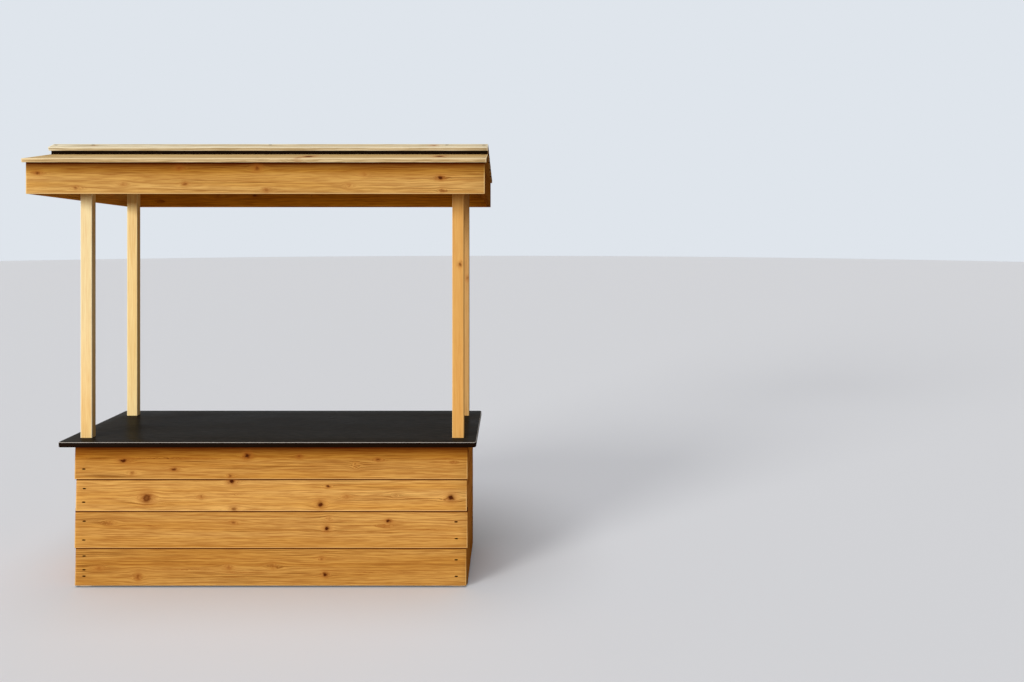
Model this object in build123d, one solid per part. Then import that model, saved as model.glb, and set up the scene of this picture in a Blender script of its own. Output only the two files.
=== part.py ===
from build123d import *
import math
import os

# A wooden market stall: a boarded counter, four posts that pass through its worktop,
# and a plank roof with a boxed edge. All sizes are in millimetres.
# X runs along the counter, Y from the customers' side (front, at -Y) to the seller's
# side (rear, at +Y), and Z up. The origin is on the ground, midway along and across.

# Counter under the worktop, over the faces of its planks
base_length = 2326
base_depth = 610
ground_gap = 10
lower_plank_covers = (222, 219, 189)
front_plank_left_trims = (2, 0, 6, 0)
front_plank_right_trims = (7, 0, 4, 0)

# Worktop
worktop_height = 880
worktop_thickness = 30
worktop_side_overhang = 55
worktop_front_overhang = 75
worktop_corner_radius = 12
worktop_arris_radius = 3

# Weatherboards, thick at the lower edge and rebated over the board below
board_butt = 22
board_tip = 13
board_lap = 16
board_arris_radius = 2.5

# Posts, and the rails that the worktop lies on
post_width = 70
post_depth = 40
post_chamfer = 3
post_hole_clearance = 1
rail_height = 70
rail_thickness = 30

# Boxed edge of the roof: the height under it, and how far it stands out from the counter
box_underside = 2316
box_side_overhang = 112
box_front_overhang = 265
box_board_thickness = 22
box_arris_radius = 3

# Beams in notches at the heads of the posts, a little above the boxed edge's underside
beam_rise = 50
beam_height = 80
beam_thickness = 40
post_notch_depth = 20

# Rafters, notched over the beams
rafter_thickness = 45
rafter_notch_depth = 30

# Roof boards. The front eave's height is over the boxed edge's underside, and the ridge's
# is over the front eave. The rear eave is lower than the front one.
eave_side_overhang = 10
eave_front_overhang = 25
front_eave_rise = 195
ridge_rise = 114
ridge_setback = 290
rear_eave_drop = 36
rear_board_count = 5
roof_board_thickness = 22
ridge_board_width = 62
ridge_board_pitch = 24
ridge_board_seat = 26
ridge_shadow_gap = 22

# Clearance between boards that lie side by side
board_clearance = 0.5

PARTS_FOLDER = "parts"
UP = Vector(0, 0, 1)

# Places that follow from the driving sizes
worktop_underside = worktop_height - worktop_thickness
worktop_length = base_length + 2 * worktop_side_overhang
worktop_depth = base_depth + 2 * worktop_front_overhang
post_face_x = base_length / 2 - board_butt
post_face_y = base_depth / 2 - board_butt
post_inner_x = post_face_x - post_width
post_inner_y = post_face_y - post_depth
box_half_length = base_length / 2 + box_side_overhang
box_half_depth = base_depth / 2 + box_front_overhang
box_inner_x = box_half_length - box_board_thickness
box_inner_y = box_half_depth - box_board_thickness
beam_underside = box_underside + beam_rise
beam_top = beam_underside + beam_height
beam_inner_y = post_face_y - post_notch_depth
beam_outer_y = beam_inner_y + beam_thickness
rafter_underside = beam_top - rafter_notch_depth
roof_half_length = box_half_length + eave_side_overhang
eave_y = box_half_depth + eave_front_overhang
front_eave_height = box_underside + front_eave_rise
rear_eave_height = front_eave_height - rear_eave_drop
ridge_height = front_eave_height + ridge_rise
ridge_y = ridge_setback - eave_y


def save(node, solid):
    """Write one named piece to its own file."""
    solid.label = node
    export_step(solid, os.path.join(PARTS_FOLDER, node + ".step"))
    print(f"{node:24s} {solid.volume / 1e6:8.2f} litres")


def beam_along_x(points, x_from, x_to, eased=None, ease_radius=0):
    """A piece with the section given by (y, z) points, running from x_from to x_to.

    eased is the place in the list of a corner that is rounded to ease_radius."""
    section = make_face(Polyline(*points, close=True))
    if eased is not None:
        y, z = points[eased]
        corner = section.vertices().sort_by_distance((y, z, 0))[0]
        section = fillet(corner, ease_radius)
    middle = (x_from + x_to) / 2
    half = (x_to - x_from) / 2
    return Pos(middle, 0, 0) * extrude(Plane.YZ * section, amount=half, both=True)


def weatherboard_section(cover, rebated, tongued):
    """Section of one weatherboard: x is its thickness, y runs up the wall or the slope.

    The face leans in from a thick lower edge. The tongue at the top goes behind the
    next board, and the rebate at the bottom takes the tongue of the board below."""
    lean = (board_butt - board_tip) / cover
    top = cover + board_lap if tongued else cover
    corners = [(board_butt, 0), (board_butt - lean * top, top), (0, top)]
    if rebated:
        rebate_depth = board_tip + board_clearance
        rebate_height = board_lap + board_clearance
        corners += [(0, rebate_height), (rebate_depth, rebate_height), (rebate_depth, 0)]
    else:
        corners += [(0, 0)]
    section = make_face(Polyline(*corners, close=True))
    lower_arris = section.vertices().sort_by_distance((board_butt, 0, 0))[0]
    return fillet(lower_arris, board_arris_radius)


def lay_board(section, length, seat, outward, up_the_face):
    """Run a board's section along its wall or slope, centred on the point seat."""
    along = outward.cross(up_the_face)
    where = Plane(origin=seat, x_dir=outward, z_dir=along)
    return extrude(where * section, amount=length / 2, both=True)


def plank_courses():
    """Height of each plank's lower edge and the height it covers, from the ground up."""
    heights = []
    bottom = ground_gap
    for cover in lower_plank_covers:
        heights.append((bottom, cover))
        bottom += cover
    heights.append((bottom, worktop_underside - bottom))
    return heights


def make_counter_planks():
    """Four walls of weatherboards. The front and rear ones cover the side ones' ends."""
    courses = plank_courses()
    side_length = 2 * post_face_y
    walls = [
        ("front", Vector(0, -1, 0), post_face_y, base_length),
        ("rear", Vector(0, 1, 0), post_face_y, base_length),
        ("left", Vector(-1, 0, 0), post_face_x, side_length),
        ("right", Vector(1, 0, 0), post_face_x, side_length),
    ]
    for wall, outward, distance, length in walls:
        for index, (bottom, cover) in enumerate(courses):
            is_first = index == 0
            is_last = index == len(courses) - 1
            section = weatherboard_section(cover, rebated=not is_first, tongued=not is_last)
            left_trim = front_plank_left_trims[index] if wall == "front" else 0
            right_trim = front_plank_right_trims[index] if wall == "front" else 0
            shift = (left_trim - right_trim) / 2
            seat = outward * distance + UP * bottom + Vector(shift, 0, 0)
            plank_length = length - left_trim - right_trim
            plank = lay_board(section, plank_length, seat, outward, UP)
            save(f"{wall}_plank_{index + 1}", plank)


def make_posts():
    """Posts from the ground to the beams, each notched on its outer face for its beam."""
    for side_name, side in (("left", -1), ("right", 1)):
        for face_name, face in (("front", -1), ("rear", 1)):
            x = side * (post_face_x - post_width / 2)
            y = face * (post_face_y - post_depth / 2)
            post = Box(post_width, post_depth, beam_top,
                       align=(Align.CENTER, Align.CENTER, Align.MIN))
            post = chamfer(post.edges().filter_by(Axis.Z), post_chamfer)
            notch = Pos(0, face * (post_depth / 2 - post_notch_depth / 2), beam_underside) * Box(
                post_width, post_notch_depth, beam_height,
                align=(Align.CENTER, Align.CENTER, Align.MIN))
            save(f"post_{face_name}_{side_name}", Pos(x, y, 0) * (post - notch))


def make_rails():
    """Rails between the posts, flush with their outer faces, under the worktop."""
    z = worktop_underside - rail_height / 2
    for name, face in (("front", -1), ("rear", 1)):
        rail = Box(2 * post_inner_x, rail_thickness, rail_height)
        save(f"rail_{name}", Pos(0, face * (post_face_y - rail_thickness / 2), z) * rail)
    for name, side in (("left", -1), ("right", 1)):
        rail = Box(rail_thickness, 2 * post_inner_y, rail_height)
        save(f"rail_{name}", Pos(side * (post_face_x - rail_thickness / 2), 0, z) * rail)


def make_worktop():
    """One slab with rounded corners and arrises, cut out round the four posts."""
    outline = RectangleRounded(worktop_length, worktop_depth, worktop_corner_radius)
    slab = extrude(outline, amount=worktop_thickness)
    slab = fillet(slab.faces().sort_by(Axis.Z)[-1].edges(), worktop_arris_radius)
    hole = Rectangle(post_width + 2 * post_hole_clearance, post_depth + 2 * post_hole_clearance)
    for side in (-1, 1):
        for face in (-1, 1):
            x = side * (post_face_x - post_width / 2)
            y = face * (post_face_y - post_depth / 2)
            slab -= extrude(Pos(x, y, 0) * hole, amount=worktop_thickness)
    save("worktop", Pos(0, 0, worktop_underside) * slab)


def eave_slope(arris_y, arris_height, thickness, head_y, head_height):
    """Pitch in radians of a seat line through (head_y, head_height) that leaves room for
    boards of the given thickness under the eave's top arris."""
    run = abs(head_y - arris_y)
    rise = head_height - arris_height
    return math.atan2(rise, run) + math.asin(thickness / math.hypot(run, rise))


# The ridge board leans forward over the eave board, with a gap under its lower edge
cap_pitch = math.radians(ridge_board_pitch)
cap_top_y = ridge_y - ridge_board_width * math.cos(cap_pitch)
cap_top_z = ridge_height - ridge_board_width * math.sin(cap_pitch)
cap_lower_y = cap_top_y + roof_board_thickness * math.sin(cap_pitch)
cap_lower_z = cap_top_z - roof_board_thickness * math.cos(cap_pitch)
cap_head_z = ridge_height - roof_board_thickness / math.cos(cap_pitch)
cap_seat_y = ridge_y - ridge_board_seat
cap_seat_z = cap_head_z - ridge_board_seat * math.tan(cap_pitch)

# The eave board's top face runs from its front arris to just under the ridge board
front_pitch = math.atan2(cap_lower_z - ridge_shadow_gap - front_eave_height, cap_lower_y + eave_y)
front_seat_y = -eave_y + roof_board_thickness * math.sin(front_pitch)
front_seat_z = front_eave_height - roof_board_thickness * math.cos(front_pitch)

# The rear boards' seat falls from just behind the ridge board to the rear eave
rear_head_z = ridge_height - board_tip - board_clearance
rear_pitch = eave_slope(eave_y, rear_eave_height, board_butt, ridge_y, rear_head_z)


def front_seat(y):
    """Height of the seat under the eave board."""
    return front_seat_z + (y - front_seat_y) * math.tan(front_pitch)


def rear_seat(y):
    """Height of the seat under the rear roof boards."""
    return rear_head_z - (y - ridge_y) * math.tan(rear_pitch)


def roof_seat_outline(reach):
    """Points (y, z) that the roof boards lie on, from -reach at the front to the rear."""
    return [
        (-reach, front_seat(-reach)),
        (cap_seat_y, front_seat(cap_seat_y)),
        (cap_seat_y, cap_seat_z),
        (ridge_y, cap_head_z),
        (ridge_y, rear_seat(ridge_y)),
        (reach, rear_seat(reach)),
    ]


def make_beams():
    """Two beams along the stall, resting in the posts' notches."""
    for name, face in (("front", -1), ("rear", 1)):
        section = [
            (face * beam_inner_y, beam_underside),
            (face * beam_outer_y, beam_underside),
            (face * beam_outer_y, beam_top),
            (face * beam_inner_y, beam_top),
        ]
        save(f"beam_{name}", beam_along_x(section, -box_inner_x, box_inner_x))


def make_rafters():
    """Rafters sawn to both slopes and to the ridge board's bevel, notched over the beams."""
    outline = roof_seat_outline(box_inner_y)
    outline += [
        (box_inner_y, rafter_underside),
        (beam_outer_y, rafter_underside),
        (beam_outer_y, beam_top),
        (beam_inner_y, beam_top),
        (beam_inner_y, rafter_underside),
        (-beam_inner_y, rafter_underside),
        (-beam_inner_y, beam_top),
        (-beam_outer_y, beam_top),
        (-beam_outer_y, rafter_underside),
        (-box_inner_y, rafter_underside),
    ]
    beside_post = post_inner_x - rafter_thickness / 2
    for name, x in (("left", -beside_post), ("middle", 0), ("right", beside_post)):
        rafter = beam_along_x(outline, x - rafter_thickness / 2, x + rafter_thickness / 2)
        save(f"rafter_{name}", rafter)


def make_box_edge():
    """Boards round the edge of the roof: front, rear, and a gable board at each side."""
    outer_y = box_half_depth
    half = box_half_length
    rear_underside = box_underside - rear_eave_drop
    front = [
        (-outer_y, box_underside),
        (-box_inner_y, box_underside),
        (-box_inner_y, front_seat(-box_inner_y)),
        (-outer_y, front_seat(-outer_y)),
    ]
    rear = [
        (outer_y, rear_underside),
        (box_inner_y, rear_underside),
        (box_inner_y, rear_seat(box_inner_y)),
        (outer_y, rear_seat(outer_y)),
    ]
    save("fascia_front", beam_along_x(front, -half, half, 0, box_arris_radius))
    save("fascia_rear", beam_along_x(rear, -half, half, 0, box_arris_radius))
    gable = roof_seat_outline(box_inner_y)
    gable += [(box_inner_y, rear_underside), (-box_inner_y, box_underside)]
    save("gable_board_left", beam_along_x(gable, -half, -box_inner_x))
    save("gable_board_right", beam_along_x(gable, box_inner_x, half))


def make_roof_boards():
    """The eave board, the ridge board and the weatherboards of the rear slope."""
    half = roof_half_length
    eave_width = (cap_seat_y - board_clearance - front_seat_y) / math.cos(front_pitch)
    eave_section = make_face(Polyline(
        (0, 0), (roof_board_thickness, 0), (roof_board_thickness, eave_width), (0, eave_width),
        close=True))
    front_arris = eave_section.vertices().sort_by_distance((roof_board_thickness, 0, 0))[0]
    eave_section = fillet(front_arris, board_arris_radius)
    up_front = Vector(0, math.cos(front_pitch), math.sin(front_pitch))
    out_front = Vector(0, -math.sin(front_pitch), math.cos(front_pitch))
    seat = Vector(0, front_seat_y, front_seat_z)
    save("eave_board_front", lay_board(eave_section, 2 * half, seat, out_front, up_front))

    ridge = [
        (cap_lower_y, cap_lower_z),
        (ridge_y, cap_head_z),
        (ridge_y, ridge_height),
        (cap_top_y, cap_top_z),
    ]
    save("ridge_board", beam_along_x(ridge, -half, half, 3, board_arris_radius))

    up_rear = Vector(0, -math.cos(rear_pitch), math.sin(rear_pitch))
    out_rear = Vector(0, math.sin(rear_pitch), math.cos(rear_pitch))
    rear_seat_y = eave_y - board_butt * math.sin(rear_pitch)
    rear_seat_start = Vector(0, rear_seat_y, rear_seat(rear_seat_y))
    cover = (rear_seat_y - ridge_y) / math.cos(rear_pitch) / rear_board_count
    for index in range(rear_board_count):
        is_first = index == 0
        is_last = index == rear_board_count - 1
        section = weatherboard_section(cover, rebated=not is_first, tongued=not is_last)
        seat = rear_seat_start + up_rear * (index * cover)
        board = lay_board(section, 2 * half, seat, out_rear, up_rear)
        save(f"roof_board_rear_{index + 1}", board)


os.makedirs(PARTS_FOLDER, exist_ok=True)
make_posts()
make_rails()
make_counter_planks()
make_worktop()
make_beams()
make_rafters()
make_box_edge()
make_roof_boards()
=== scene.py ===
# %% [markdown]
# # A wooden market stall
# The real stall is carpentry: four posts, two beams, a boarded counter with a dark
# laminated worktop, and a plank roof with a boxed edge. The CAD frame already holds every
# piece at its real size. This lesson gives those pieces their timber, their nails and
# their light. Boards that show are modelled again, with eased arrises, nail dents and the
# slight movement of seasoned wood. Posts, rails, beams, rafters and gable boards keep
# their CAD meshes and get a material.

import math
import random
from functools import partial
from types import SimpleNamespace

import bmesh
import bpy
from mathutils import Matrix, Vector, noise


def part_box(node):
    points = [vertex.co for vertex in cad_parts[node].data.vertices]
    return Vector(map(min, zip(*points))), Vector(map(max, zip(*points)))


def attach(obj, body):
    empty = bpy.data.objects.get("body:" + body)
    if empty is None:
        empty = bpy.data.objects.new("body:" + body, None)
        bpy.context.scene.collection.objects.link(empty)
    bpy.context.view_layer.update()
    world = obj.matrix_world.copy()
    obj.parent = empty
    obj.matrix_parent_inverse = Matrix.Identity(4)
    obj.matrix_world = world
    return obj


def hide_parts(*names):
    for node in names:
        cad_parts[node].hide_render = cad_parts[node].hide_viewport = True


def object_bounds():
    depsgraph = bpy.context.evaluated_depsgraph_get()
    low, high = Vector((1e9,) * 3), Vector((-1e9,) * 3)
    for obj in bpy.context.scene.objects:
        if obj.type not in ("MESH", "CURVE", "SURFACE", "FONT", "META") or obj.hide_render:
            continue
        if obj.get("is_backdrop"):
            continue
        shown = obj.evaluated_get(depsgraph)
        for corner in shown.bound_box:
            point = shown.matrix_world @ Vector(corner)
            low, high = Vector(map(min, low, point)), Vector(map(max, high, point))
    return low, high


MM = 0.001

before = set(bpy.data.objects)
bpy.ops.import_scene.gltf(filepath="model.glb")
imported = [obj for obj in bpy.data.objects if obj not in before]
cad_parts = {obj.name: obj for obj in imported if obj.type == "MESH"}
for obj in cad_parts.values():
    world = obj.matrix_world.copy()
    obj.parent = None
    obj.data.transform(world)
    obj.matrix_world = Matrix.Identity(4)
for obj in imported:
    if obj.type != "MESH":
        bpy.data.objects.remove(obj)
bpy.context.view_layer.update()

# %% [markdown]
# ## The camera
# The photograph was taken from the right of the stall, a little over two metres up. Its
# posts stand upright in the picture although the horizon is above the middle, so the
# camera is level and its lens is shifted. Turning the camera down would lean the posts.
# The stall's corners gave the focal length in pixels and the camera's place.

# %% The camera
IMAGE_WIDTH = 1024
IMAGE_HEIGHT = 682
HORIZON_PX = 232
FOCAL_PX = 730.9
CAMERA_PLACE = (1.4266, -4.6304, 2.1040)

camera_data = bpy.data.cameras.new("camera")
camera_data.sensor_width = 36
camera_data.lens = FOCAL_PX / IMAGE_WIDTH * camera_data.sensor_width
camera_data.shift_y = (HORIZON_PX - IMAGE_HEIGHT / 2) / IMAGE_WIDTH
camera = bpy.data.objects.new("camera", camera_data)
camera.location = CAMERA_PLACE
camera.rotation_euler = (math.radians(90), 0, 0)
scene = bpy.context.scene
scene.collection.objects.link(camera)
scene.camera = camera
scene.view_settings.view_transform = "Standard"
print("lens", round(camera_data.lens, 2), "mm, shift", round(camera_data.shift_y, 4))

# %% [markdown]
# ## Colours, nodes and meshes
# Colours are picked from a picture as sRGB hex, but a shader adds light in linear values,
# so one function turns the first into the second. Materials are trees of nodes, and one
# small function adds any node, sets its properties, and fills or links its inputs. Shapes
# are drawn as a bmesh, and the last function makes one an object of the scene.

# %% Helpers
def linear(code):
    """An sRGB hex colour such as "ce934a" as the linear RGBA that a shader takes."""
    channels = [int(code[i:i + 2], 16) / 255 for i in (0, 2, 4)]
    return [c / 12.92 if c <= 0.04045 else ((c + 0.055) / 1.055) ** 2.4 for c in channels] + [1]


def add(tree, kind, inputs=None, operation=None, stops=None, **settings):
    """Add a node. kind is the name of its type without ShaderNode. inputs maps a socket to a
    value, or to the node or socket that feeds it. operation is what a maths node does, and
    stops are a colour ramp's places, each with a grey level or a colour."""
    node = tree.nodes.new(kind if kind.startswith("NodeGroup") else "ShaderNode" + kind)
    node.location = (180 * len(tree.nodes), 0)
    if operation:
        node.operation = operation
    for name, value in settings.items():
        setattr(node, name, value)
    for socket, value in (inputs or {}).items():
        if isinstance(value, bpy.types.Node):
            value = next(output for output in value.outputs if output.enabled)
        if isinstance(value, bpy.types.NodeSocket):
            tree.links.new(value, node.inputs[socket])
        else:
            node.inputs[socket].default_value = value
    for index, (place, shade) in enumerate(stops or []):
        elements = node.color_ramp.elements
        element = elements[index] if index < 2 else elements.new(place)
        element.position = place
        element.color = linear(shade) if isinstance(shade, str) else (shade, shade, shade, 1)
    return node


def new_material(name):
    """A material with only its Principled shader, and its tree."""
    material = bpy.data.materials.new(name)
    material.use_nodes = True
    return material, material.node_tree, material.node_tree.nodes["Principled BSDF"]


def new_group(name, **sides):
    """A node group. INPUT and OUTPUT each map a socket's name to its kind."""
    group = bpy.data.node_groups.new(name, "ShaderNodeTree")
    for side, sockets in sides.items():
        for socket, kind in sockets.items():
            group.interface.new_socket(socket, in_out=side, socket_type="NodeSocket" + kind)
    return group


def to_object(bm, name, *materials):
    """Make a bmesh an object of the scene, with these materials."""
    mesh = bpy.data.meshes.new(name)
    bm.to_mesh(mesh)
    bm.free()
    for material in materials:
        mesh.materials.append(material)
    piece = bpy.data.objects.new(name, mesh)
    scene.collection.objects.link(piece)
    return piece


print("pine in linear light:", [round(c, 3) for c in linear("ce934a")])

# %% [markdown]
# ## Soft daylight in a studio
# The stall stood in the open in soft light from the front left. The posts are bright right
# up to the roof, and the right one less far up than the left one, so that light came in low
# and slantwise, under the roof's edge. Faces turned to the right are about a quarter as
# bright as the front. A sun lamp with a wide disc gives soft edged shadows at any distance,
# so it stands for a large softbox. A second, high one lights what lies flat. The world fills
# the rest. Only rays that show the background see it pale: the light on the object stays
# plain.

# %% Light
SKY_FILL = 0.22
SOFTBOXES = [
    # name, strength, width of the disc, (azimuth, elevation) in degrees, colour
    ("key", 3.35, 22, (-45, 9), "fffcf8"),
    ("overhead", 1.5, 30, (-20, 81), "fbfaff"),
]
FILL_COLOUR = "f7f2ec"
BACKGROUND = "dfe5ec"

for name, strength, disc, (azimuth, elevation), colour in SOFTBOXES:
    lamp = bpy.data.lights.new(name, "SUN")
    lamp.energy = strength
    lamp.angle = math.radians(disc)
    lamp.color = linear(colour)[:3]
    softbox = bpy.data.objects.new(name, lamp)
    softbox.rotation_euler = (math.radians(90 - elevation), 0, math.radians(azimuth))
    scene.collection.objects.link(softbox)

world = bpy.data.worlds.new("studio")
world.use_nodes = True
scene.world = world
sky = world.node_tree
rays = add(sky, "LightPath").outputs
seen = add(sky, "Math", {0: rays["Is Camera Ray"], 1: rays["Is Glossy Ray"]}, "MAXIMUM")
seen = add(sky, "Math", {0: seen, 1: rays["Is Transmission Ray"]}, "MAXIMUM")
fill = add(sky, "Background", {"Color": linear(FILL_COLOUR), "Strength": SKY_FILL})
pale = add(sky, "Background", {"Color": linear(BACKGROUND), "Strength": 1})
choice = add(sky, "MixShader", {0: seen, 1: fill, 2: pale})
sky.links.new(choice.outputs["Shader"], sky.nodes["World Output"].inputs["Surface"])
print(len(SOFTBOXES), "softboxes and a fill of", SKY_FILL)

# %% [markdown]
# ## The floor
# A plain pale floor takes the stall's shadow. Outdoors, the light that comes back up from
# below is weaker and warmer than a studio floor sends it, which is why the inside of the
# roof is a deep brown. So the floor is pale for rays that show it, and darker and warmer for
# rays that only carry light.

# %% Floor
FLOOR_REACH = 60
FLOOR_PALE = "e4e7ea"
FLOOR_BOUNCE = "a08868"

bm = bmesh.new()
bmesh.ops.create_circle(bm, cap_ends=True, segments=96, radius=FLOOR_REACH)
floor_material, tree, shader = new_material("matt_studio_floor")
rays = add(tree, "LightPath").outputs
seen = add(tree, "Math", {0: rays["Is Camera Ray"], 1: rays["Is Glossy Ray"]}, "MAXIMUM")
tone = add(tree, "Mix", {"Factor": seen, "A": linear(FLOOR_BOUNCE), "B": linear(FLOOR_PALE)},
           data_type="RGBA")
tree.links.new(tone.outputs["Result"], shader.inputs["Base Color"])
shader.inputs["Roughness"].default_value = 0.9
shader.inputs["Specular IOR Level"].default_value = 0.1
floor = to_object(bm, "floor", floor_material)
floor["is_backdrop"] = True
print("floor", 2 * FLOOR_REACH, "m across")

# %% [markdown]
# ## A knot
# A knot is the foot of a branch. The board's growth lines part before it and close again
# behind it, as water does round a stone, and that flow has a simple formula: a line's
# distance from the knot's middle shrinks by the square of how near the knot is. The knot
# itself is dark and resinous with a brown halo, and a large one has a paler heart. It
# could be painted on an image, but then every board would need its own, so it is a node
# group that can be chained: each copy bends the flow once more and adds its own shade to
# what came before.

# %% Knot group
KNOT_FLOW_STRETCH = 2.4
KNOT_PUSH = 0.92
KNOT_REACH = 3
KNOT_PROFILE = [(0.0, 0.95), (0.15, 0.88), (0.27, 0.6), (0.42, 0.37), (0.62, 0.2), (0.82, 0.08),
                (1.0, 0.0)]
HEART_PROFILE = [(0.0, 1.0), (0.12, 0.75), (0.22, 0.0)]

knot_group = new_group("knot", INPUT={"Place": "Vector", "Flow": "Vector", "Shade": "Float",
                                      "Centre": "Vector", "Size": "Vector", "Darkness": "Float",
                                      "Heart": "Float"},
                       OUTPUT={"Flow": "Vector", "Shade": "Float"})
grow = partial(add, knot_group)
given = grow("NodeGroupInput").outputs
offset = grow("VectorMath", {0: given["Place"], 1: given["Centre"]}, "SUBTRACT")
scaled = grow("VectorMath", {0: offset, 1: given["Size"]}, "DIVIDE")

# How dark the knot is here, over what the knots before it gave
distance = grow("VectorMath", {0: scaled}, "LENGTH")
share = grow("Math", {0: distance, 1: KNOT_REACH}, "DIVIDE")
profile = grow("ValToRGB", {"Fac": share}, stops=KNOT_PROFILE)
heart = grow("ValToRGB", {"Fac": share}, stops=HEART_PROFILE)
heart = grow("Math", {0: heart, 1: given["Heart"]}, "MULTIPLY")
profile = grow("Math", {0: profile, 1: heart}, "SUBTRACT")
own = grow("Math", {0: profile, 1: given["Darkness"]}, "MULTIPLY")
darkest = grow("Math", {0: own, 1: given["Shade"]}, "MAXIMUM")

# How far it pushes the growth lines aside, in a form drawn out along the grain
drawn_out = grow("VectorMath", {0: scaled, 1: (1 / KNOT_FLOW_STRETCH, 1, 1)}, "MULTIPLY")
stream = grow("VectorMath", {0: drawn_out}, "LENGTH")
outside = grow("Math", {0: stream, 1: 1.0}, "MAXIMUM")
nearness = grow("Math", {0: outside, 1: -2.0}, "POWER")
bend = grow("VectorMath", {0: offset, "Scale": nearness}, "SCALE")
bend = grow("VectorMath", {0: bend, 1: (0, KNOT_PUSH, 0)}, "MULTIPLY")
flow = grow("VectorMath", {0: given["Flow"], 1: bend}, "SUBTRACT")
grow("NodeGroupOutput", {"Flow": flow, "Shade": darkest})
print("knot group with", len(knot_group.nodes), "nodes")

# %% [markdown]
# ## The figure of pine
# A board is cut from a trunk, so its figure is the trunk's: growth rings round a pith line
# that runs beside or through the board. Measured from that line, each ring is pale
# earlywood that darkens slowly to a thin line of latewood and then stops. Where the face
# runs nearly along the rings, the lines are wide apart, and at its edges they are close.
# A solid pattern of this kind needs no picture, and it turns every corner correctly, with
# arcs on the end grain. Real rings in pine are 2 to 4 mm apart, and its fibres are far
# finer. From this far off they would blur, so rings are drawn 6.5 to 14.5 mm apart and
# fibres 5 mm wide. Streaks are the odd resinous lines that run a long way down a board.

# %% Figure group
LAYERS = {
    # name: (length of a blotch along, across and into the board in mm, detail)
    "wander": ((1500, 150, 150), 2),
    "jitter": ((170, 11, 11), 2),
    "fibre": ((150, 5.0, 5.0), 2),
    "tone": ((1500, 60, 60), 1),
    "streak": ((2200, 13, 13), 2),
    "patch": ((700, 50, 50), 1),
}
LAYER_ROUGHNESS = 0.58
# The part of each noise that is spread over the whole range from 0 to 1
CONTRAST = {"fibre": (0.42, 0.62), "tone": (0.33, 0.67), "patch": (0.46, 0.66)}
WANDER = 12
SEED_STEP = (2731, 173, 37)
RING_PROFILE = [(0.0, 0.35), (0.1, 0.02), (0.45, 0.08), (0.8, 0.7), (0.93, 1.0), (1.0, 0.35)]
# How fast good and bad years change per mm, and how many rings they and the jitter shift
YEARS_CHANGE = 0.045
YEARS_SHIFT = 0.9
JITTER_SHIFT = 0.8
WEAKEST_YEAR = 0.4
STREAK_WIDTH = 0.028

figure_group = new_group("pine_figure", INPUT={"Flow": "Vector", "Seed": "Float", "Pith": "Vector",
                                               "Tilt": "Float", "Ring": "Float"},
                         OUTPUT=dict.fromkeys(("Latewood", "Fibre", "Tone", "Streak"), "Float"))
grow = partial(add, figure_group)
given = grow("NodeGroupInput").outputs
shift = grow("VectorMath", {0: SEED_STEP, "Scale": given["Seed"]}, "SCALE")
own_place = grow("VectorMath", {0: given["Flow"], 1: shift}, "ADD")
layers = {}
for layer, (lengths, detail) in LAYERS.items():
    spread = grow("VectorMath", {0: own_place, 1: lengths}, "DIVIDE")
    layers[layer] = grow("TexNoise", {"Vector": spread, "Scale": 1.0, "Detail": detail,
                                      "Roughness": LAYER_ROUGHNESS}).outputs
clear = {}
for layer, (least, most) in CONTRAST.items():
    clear[layer] = grow("MapRange", {"Value": layers[layer]["Fac"], "From Min": least, "From Max": most})

# The trunk wanders, and its pith line drifts outward from one end of the board to the other
wander = grow("VectorMath", {0: layers["wander"]["Color"], 1: (0, WANDER, WANDER),
                             2: (0, -WANDER / 2, -WANDER / 2)}, "MULTIPLY_ADD")
core = grow("VectorMath", {0: given["Flow"], 1: wander}, "ADD")
core = grow("VectorMath", {0: core, 1: given["Pith"]}, "SUBTRACT")
core = grow("SeparateXYZ", {0: core}).outputs
drift = grow("Math", {0: core["X"], 1: given["Tilt"], 2: core["Z"]}, "MULTIPLY_ADD")
core = grow("CombineXYZ", {"Y": core["Y"], "Z": drift})
radius = grow("VectorMath", {0: core}, "LENGTH")

# Good and bad years, a little jitter, and each year's own strength of latewood
good_years = grow("Math", {0: radius, 1: YEARS_CHANGE, 2: given["Seed"]}, "MULTIPLY_ADD")
good_years = grow("TexNoise", {"W": good_years, "Scale": 1.0, "Detail": 1.0}, noise_dimensions="1D")
years = grow("Math", {0: radius, 1: given["Ring"]}, "DIVIDE")
years = grow("Math", {0: good_years, 1: YEARS_SHIFT, 2: years}, "MULTIPLY_ADD")
years = grow("Math", {0: layers["jitter"]["Fac"], 1: JITTER_SHIFT, 2: years}, "MULTIPLY_ADD")
ramp = grow("ValToRGB", {"Fac": grow("Math", {0: years}, "FRACT")}, stops=RING_PROFILE)
year = grow("Math", {0: years}, "FLOOR")
year = grow("Math", {0: year, 1: given["Seed"]}, "ADD")
vigour = grow("TexWhiteNoise", {"W": year}, noise_dimensions="1D")
vigour = grow("Math", {0: vigour, 1: 1 - WEAKEST_YEAR, 2: WEAKEST_YEAR}, "MULTIPLY_ADD")
latewood = grow("Math", {0: ramp, 1: vigour}, "MULTIPLY")

# A streak follows the line where its noise is exactly middling, as long as its patch lasts
height = grow("Math", {0: layers["streak"]["Fac"], 1: 0.5}, "SUBTRACT")
height = grow("Math", {0: height}, "ABSOLUTE")
line = grow("MapRange", {"Value": height, "From Min": 0.0, "From Max": STREAK_WIDTH,
                         "To Min": 1.0, "To Max": 0.0}, interpolation_type="SMOOTHSTEP")
streak = grow("Math", {0: line, 1: clear["patch"]}, "MULTIPLY")
grow("NodeGroupOutput", {"Latewood": latewood, "Fibre": clear["fibre"], "Tone": clear["tone"],
                         "Streak": streak})
print("figure group with", len(figure_group.nodes), "nodes")

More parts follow.
